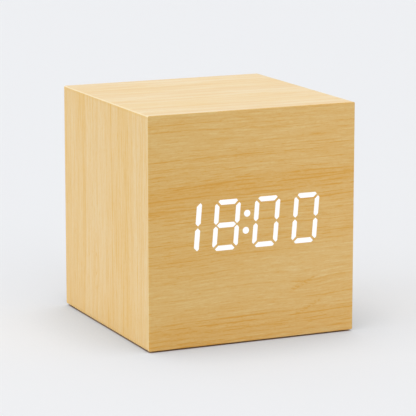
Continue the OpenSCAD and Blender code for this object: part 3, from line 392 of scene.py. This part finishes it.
def moulded(name, low, high, rough, pebble_mm, depth_mm):
    """Moulded plastic or rubber with a fine pebbled skin and slightly uneven gloss."""
    p = Paint(name)
    place = p.place()
    pebbles = p.speckle(place, 1 / pebble_mm)
    wear = p.speckle(place, 0.09, detail=3.0)
    p.set("Base Color", p.mix(p.step(wear, *SPREAD), low, high))
    p.set("Roughness", p.step(wear, *SPREAD, rough - 0.05, rough + 0.06))
    p.bump(pebbles, depth_mm, strength=0.6)
    return p.material


def metal(name, bright, dull, rough, line_axis):
    """Plated or brushed metal with fine lines across one axis."""
    p = Paint(name, Metallic=1.0)
    place = p.place()
    stretched = [p.times(c, 14.0 if axis == line_axis else 0.8) for axis, c in zip("XYZ", place)]
    lines = p.noise(*stretched, detail=3.0, roughness=0.7)
    cloud = p.speckle(place, 0.35)
    p.set("Base Color", p.mix(p.step(cloud, *SPREAD), bright, dull))
    p.set("Roughness", p.step(lines, *SPREAD, rough - 0.07, rough + 0.09))
    p.bump(lines, depth_mm=0.01, strength=0.3)
    return p.material


def circuit_board():
    """Green solder mask over copper tracks."""
    cells_per_mm = 0.42
    p = Paint("circuit_board", Roughness=0.35, Coat_Weight=0.3, Coat_Roughness=0.25)
    x, _, z = p.place()
    cells = p.node("TexVoronoi", feature="DISTANCE_TO_EDGE", inputs={
        "Vector": p.point(p.times(x, cells_per_mm), 0.0, p.times(z, cells_per_mm)),
        "Scale": 1.0, "Randomness": 0.85})
    tracks = p.step(cells.outputs["Distance"], 0.09, 0.05)
    p.set("Base Color", p.mix(tracks, tone(22, 92, 48), tone(46, 128, 70)))
    p.bump(tracks, depth_mm=0.035, strength=0.8)
    return p.material


# Cells: how many lie side by side, a nub's length with a little over, and where the copper band starts
CELL_COUNT = 3
NUB_L = 1.02
BAND_X = 9.0


def cell_wrap():
    """Shrink wrap with a copper band at each cell's nub end and bare steel ends.

    The middle cell lies the other way.
    """
    p = Paint("cell_wrap", Coat_Weight=0.4, Coat_Roughness=0.15)
    x, y, z = p.place()
    low, high = (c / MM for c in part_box("battery_cells"))
    half_cell = (high.y - low.y) / CELL_COUNT / 2
    flip = p.add(p.times(p.math("LESS_THAN", p.unsigned(y), half_cell), -2.0), 1.0)
    along = p.times(x, flip)
    facing_x, _, _ = p.facing()
    ends = p.step(p.unsigned(facing_x), 0.8, 0.95)
    nub = p.math("GREATER_THAN", along, high.x - NUB_L)
    steel = p.math("MAXIMUM", ends, nub)
    band = p.math("GREATER_THAN", along, BAND_X)
    haze = p.speckle((x, y, z), 0.3)
    wrap = p.mix(band, tone(30, 32, 36), tone(190, 126, 72))
    wrap = p.mix(p.times(haze, 0.25), wrap, tone(120, 112, 104))
    p.set("Base Color", p.mix(steel, wrap, tone(205, 205, 203)))
    p.set("Metallic", p.math("MAXIMUM", steel, p.times(band, 0.6)))
    p.set("Roughness", p.step(haze, *SPREAD, 0.24, 0.34))
    return p.material


def grey_cable():
    """Flat cable: ten rounded wires side by side, one edge marked red."""
    wire_count = 10
    p = Paint("grey_cable", Roughness=0.5)
    x, y, z = p.place()
    low, high = (c.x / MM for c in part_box("ribbon_cable"))
    pitch = (high - low) / wire_count
    share = p.math("FRACT", p.times(p.add(x, -low), 1 / pitch))
    hill = p.math("SINE", p.times(share, math.pi))
    edge = p.math("LESS_THAN", x, low + pitch)
    grime = p.speckle((x, y, z), 0.4)
    grey = p.mix(p.times(grime, 0.4), tone(196, 196, 192), tone(160, 160, 156))
    p.set("Base Color", p.mix(edge, grey, tone(172, 44, 40)))
    p.bump(hill, depth_mm=0.25, strength=0.8)
    return p.material


# Depths below the buttons' faces that hold the floors of their marks
MARK_DEPTHS = 0.2, 0.3


def button_plastic():
    """Satin plastic with pale ink in the marks sunk into the buttons' faces."""
    p = Paint("button_plastic")
    x, y, z = p.place()
    pebbles = p.speckle((x, y, z), 3.3)
    worn = p.speckle((x, y, z), 0.5, detail=3.0)
    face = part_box("up_button")[1].y / MM
    depth = p.minus(face, y)
    deep = p.math("GREATER_THAN", depth, MARK_DEPTHS[0])
    shallow = p.math("LESS_THAN", depth, MARK_DEPTHS[1])
    _, facing_y, _ = p.facing()
    floors = p.times(p.times(deep, shallow), p.math("GREATER_THAN", facing_y, 0.9))
    ink = p.times(floors, p.step(worn, 0.2, 0.4, 0.75, 1.0))
    skin = p.mix(p.step(worn, *SPREAD), tone(58, 58, 61), tone(68, 68, 71))
    p.set("Base Color", p.mix(ink, skin, tone(206, 206, 202)))
    p.set("Roughness", p.step(worn, *SPREAD, 0.36, 0.46))
    p.bump(pebbles, depth_mm=0.015, strength=0.6)
    return p.material


# Plastics and rubber: two tones, roughness, size of the skin's pebbles and their depth in millimetres
MOULDED = {
    "pad_rubber": (tone(38, 38, 38), tone(54, 53, 52), 0.8, 0.5, 0.04),
    "white_plastic": (tone(226, 226, 222), tone(238, 238, 235), 0.5, 0.3, 0.02),
    "lens_plastic": (tone(232, 232, 226), tone(244, 244, 240), 0.25, 0.6, 0.01),
    "led_phosphor": (tone(230, 196, 70), tone(240, 214, 96), 0.7, 0.1, 0.01),
    "black_plastic": (tone(30, 30, 32), tone(40, 40, 42), 0.5, 0.22, 0.03),
    "blue_sleeve": (tone(24, 30, 70), tone(34, 40, 84), 0.3, 0.8, 0.02),
    "bead_epoxy": (tone(120, 66, 34), tone(140, 80, 42), 0.25, 0.7, 0.03),
    "red_wire": (tone(176, 32, 26), tone(192, 44, 36), 0.42, 0.5, 0.02),
    "black_wire": (tone(28, 28, 28), tone(38, 38, 38), 0.42, 0.5, 0.02),
}

# Metals: bright and dull tone, roughness and the axis that their fine lines lie across
METALS = {
    "steel": (tone(206, 206, 204), tone(170, 170, 168), 0.32, "X"),
    "bright_metal": (tone(226, 224, 220), tone(196, 194, 190), 0.2, "Z"),
}

PAINTS = {
    "front_wood": front_wood(),
    "side_wood": side_wood(),
    "fibreboard": fibreboard(),
    "lit": lit(),
    "circuit_board": circuit_board(),
    "cell_wrap": cell_wrap(),
    "grey_cable": grey_cable(),
    "button_plastic": button_plastic(),
    **{name: moulded(name, *look) for name, look in MOULDED.items()},
    **{name: metal(name, *look) for name, look in METALS.items()},
}
for part in frame["record"]["subparts"]:
    piece = nodes[part["node"]]
    piece.data.materials.clear()
    piece.data.materials.append(PAINTS[part["material_slot"]])

# Softened edges: their width on each node in millimetres, the least angle between faces that makes
# an edge sharp in degrees, and the distance within which points are joined first
EDGES = {
    "control_plate": 0.15, "battery_door": 0.15, "battery_box": 0.12, "foot_pads": 0.25,
    "set_button": 0.08, "up_button": 0.08, "down_button": 0.08, "power_shell": 0.05, "back_screws": 0.06,
}
SHARP_ANGLE = 35.0
JOIN_MM = 0.001


def soften(piece, width_mm):
    """Rounds a piece's sharp edges a little, as moulded and turned edges are."""
    weld = piece.modifiers.new("weld", "WELD")
    weld.merge_threshold = JOIN_MM * MM
    edges = piece.modifiers.new("edges", "BEVEL")
    edges.width = width_mm * MM
    edges.segments = 2
    edges.limit_method = "ANGLE"
    edges.angle_limit = math.radians(SHARP_ANGLE)
    edges.harden_normals = True


for name, width_mm in EDGES.items():
    soften(nodes[name], width_mm)

# Studio: a pale floor that meets a pale world, an even sky light and five soft suns
BACKDROP = tone(237, 238, 240)
SKY_STRENGTH = 0.26

# Floor: its own tone, the warm painted shade in the gap under the case, and its glow in the open and its
# painted shade beside the case
FLOOR_TONE = tone(238, 239, 241)
GAP_SHADE = tone(238, 200, 178)
GLOW_TONE = tone(237, 239, 243)
SHADE_TONE = tone(212, 234, 255)
# Share of the floor's look that is its glow
GLOW_SHARE = 0.5
# In metres: the floor's reach, and how far from the object it is shaded
FLOOR_REACH = 60.0
SHADE_REACH = 0.032

# Suns: the direction of each, its strength and its spread in degrees
SUNS = {
    "overhead": ((0.0, 0.0, 1.0), 0.155, 100.0),
    "left_window": ((-0.75, -0.15, 0.6), 0.385, 70.0),
    "right_window": ((0.75, 0.0, 0.65), 0.075, 70.0),
    "back_window": ((0.0, 0.5, 0.85), 0.19, 60.0),
    "front_fill": ((0.1, -0.77, 0.64), 0.235, 50.0),
}

# Camera, fitted to the corners of the case in the photograph: place in metres, turn and rise in degrees
CAMERA_AT = -0.2708553, -0.6005007, 0.162221
CAMERA_TURN = -24.3188
CAMERA_RISE = 11.201
LENS_MM = 205.784
SENSOR_MM = 36.0
NEAREST, FARTHEST = 0.01, 100.0


def pale_world():
    """Backdrop for the rays that look at it, and a dimmer sky to light the object."""
    world = bpy.data.worlds.new("studio")
    bpy.context.scene.world = world
    world.use_nodes = True
    p = Wiring(world.node_tree)
    p.tree.nodes.clear()
    seen = p.node("Background", inputs={"Color": BACKDROP})
    sky = p.node("Background", inputs={"Color": WHITE, "Strength": SKY_STRENGTH})
    both = p.shaders(p.looking_rays(), sky, seen)
    p.node("OutputWorld", inputs={"Surface": both.outputs[0]})


def sun(name, towards, strength, spread):
    """Distant soft light from the direction that towards points in, spread over an angle in degrees."""
    data = bpy.data.lights.new(name, "SUN")
    data.energy = strength * math.pi
    data.angle = math.radians(spread)
    lamp = bpy.data.objects.new(name, data)
    lamp.rotation_mode = "QUATERNION"
    lamp.rotation_quaternion = Vector(towards).to_track_quat("Z", "Y")
    bpy.context.scene.collection.objects.link(lamp)


def floor_paint():
    """Pale floor, shaded close to the object and see-through from below."""
    p = Paint("floor", Roughness=0.9, Specular_IOR_Level=0.0)
    open_sky = p.node("AmbientOcclusion", samples=8, inputs={"Distance": SHADE_REACH}).outputs["AO"]
    # Painted shade: the floor turns warm where little open sky reaches it, in the gap under the case
    p.set("Base Color", p.mix(p.step(open_sky, 0.4, 0.1), FLOOR_TONE, GAP_SHADE))
    # Painted shade: the glow dims and turns cooler close to the object
    bright = p.add(p.step(open_sky, 0.2, 0.6, 0.0, 0.7), p.step(open_sky, 0.55, 0.97, 0.0, 0.3))
    glow = p.node("Emission", inputs={"Color": p.mix(bright, SHADE_TONE, GLOW_TONE), "Strength": bright})
    above = p.shaders(p.times(p.looking_rays(), GLOW_SHARE), p.shader, glow)
    below = p.node("NewGeometry").outputs["Backfacing"]
    both = p.shaders(below, above, p.node("BsdfTransparent"))
    p.put(p.tree.nodes["Material Output"].inputs["Surface"], both.outputs[0])
    return p.material


def pale_floor():
    """Wide floor of one face, see-through from below so that the base can be looked at."""
    turns = [math.radians(degrees) for degrees in (90, 210, 330)]
    corners = [(FLOOR_REACH * math.cos(turn), FLOOR_REACH * math.sin(turn), 0.0) for turn in turns]
    mesh = bpy.data.meshes.new("floor")
    mesh.from_pydata(corners, [], [(0, 1, 2)])
    mesh.materials.append(floor_paint())
    floor = bpy.data.objects.new("floor", mesh)
    bpy.context.scene.collection.objects.link(floor)


def photo_camera():
    """Camera at the photograph's viewing angle."""
    data = bpy.data.cameras.new("camera")
    data.sensor_width = SENSOR_MM
    data.lens = LENS_MM
    data.clip_start = NEAREST
    data.clip_end = FARTHEST
    camera = bpy.data.objects.new("camera", data)
    camera.location = CAMERA_AT
    turn, rise = math.radians(CAMERA_TURN), math.radians(CAMERA_RISE)
    ahead = Vector((-math.sin(turn) * math.cos(rise), math.cos(turn) * math.cos(rise), -math.sin(rise)))
    camera.rotation_mode = "QUATERNION"
    camera.rotation_quaternion = ahead.to_track_quat("-Z", "Y")
    bpy.context.scene.collection.objects.link(camera)
    bpy.context.scene.camera = camera


pale_world()
for name, light in SUNS.items():
    sun(name, *light)
pale_floor()
photo_camera()
bpy.context.scene.view_settings.view_transform = "Standard"
